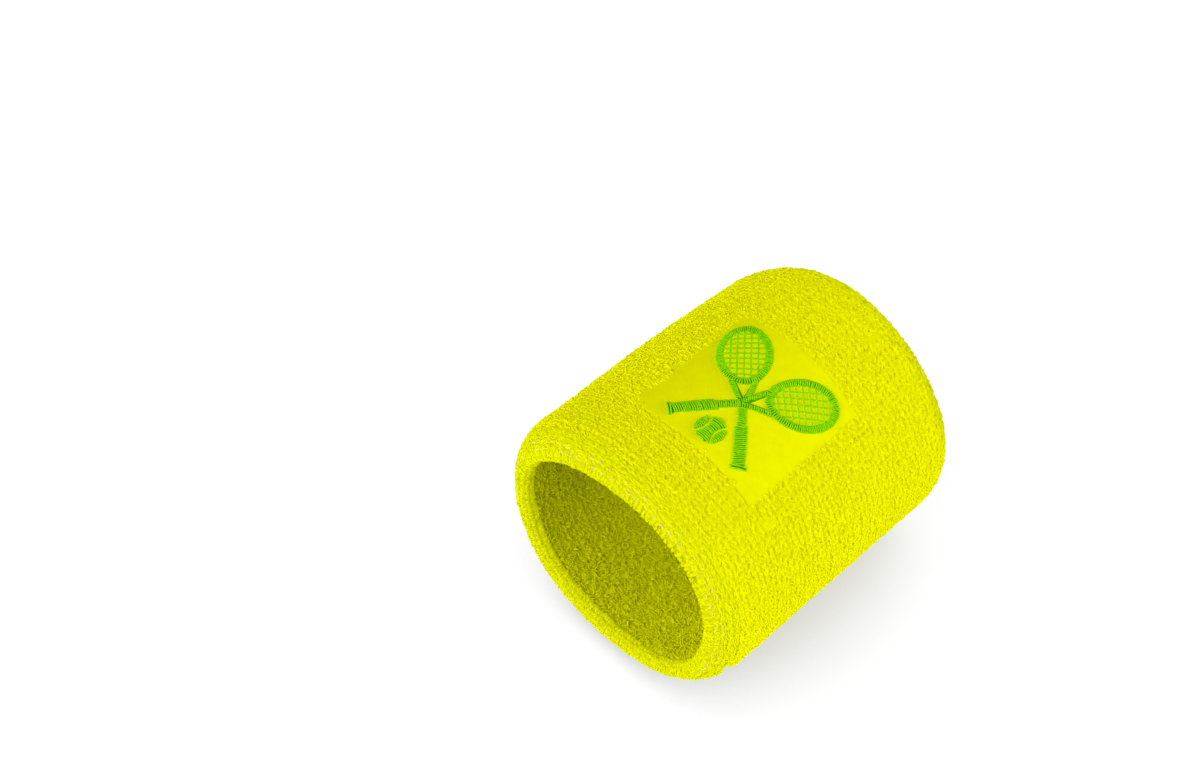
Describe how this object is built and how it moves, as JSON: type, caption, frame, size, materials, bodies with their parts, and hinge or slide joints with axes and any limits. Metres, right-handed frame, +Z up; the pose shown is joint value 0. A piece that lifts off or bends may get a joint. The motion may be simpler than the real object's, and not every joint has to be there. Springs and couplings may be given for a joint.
{
  "type": "sweat wristband",
  "caption": "Short double-walled terry wristband on its side, with rolled and stitched rims and a square patch embroidered with crossed rackets and a ball.",
  "frame": {"origin": "on the resting surface, under the middle of the band", "axes": "+Y along the band's axis, from the front opening to the rear one; +Z up; +X to the right seen from the front opening"},
  "size_m": [0.0664, 0.078, 0.0646],
  "materials": {
    "neon_terry": "soft looped terry",
    "rim_terry": "soft looped terry, tighter at the fold",
    "inner_terry": "soft looped terry, worn side",
    "elastic_yarn": "covered elastic, matt",
    "pale_thread": "spun thread, matt",
    "patch_cloth": "smooth fine knit, matt",
    "patch_thread": "spun thread, matt",
    "backing_cloth": "non-woven, matt",
    "bobbin_thread": "fine filament thread",
    "underlay_thread": "filament thread, satin",
    "satin_thread": "glossy filament thread"
  },
  "bodies": {
    "root": {"outer_terry_ply": "neon_terry", "inner_terry_ply": "inner_terry", "front_rim_roll": "rim_terry", "rear_rim_roll": "rim_terry", "outer_elastic_yarns": "elastic_yarn", "inner_elastic_yarns": "elastic_yarn", "front_rim_stitching": "pale_thread", "rear_rim_stitching": "pale_thread", "overlocked_seam_edge": "inner_terry", "closing_seam_thread": "pale_thread", "embroidery_patch": "patch_cloth", "patch_edge_stitching": "patch_thread", "embroidery_backing": "backing_cloth", "bobbin_thread": "bobbin_thread", "motif_underlay": "underlay_thread", "left_racket_frame": "satin_thread", "left_racket_strings": "satin_thread", "left_racket_shaft": "satin_thread", "left_racket_grip": "satin_thread", "right_racket_frame": "satin_thread", "right_racket_strings": "satin_thread", "right_racket_shaft": "satin_thread", "right_racket_grip": "satin_thread", "ball": "satin_thread"}
  },
  "joints": []
}
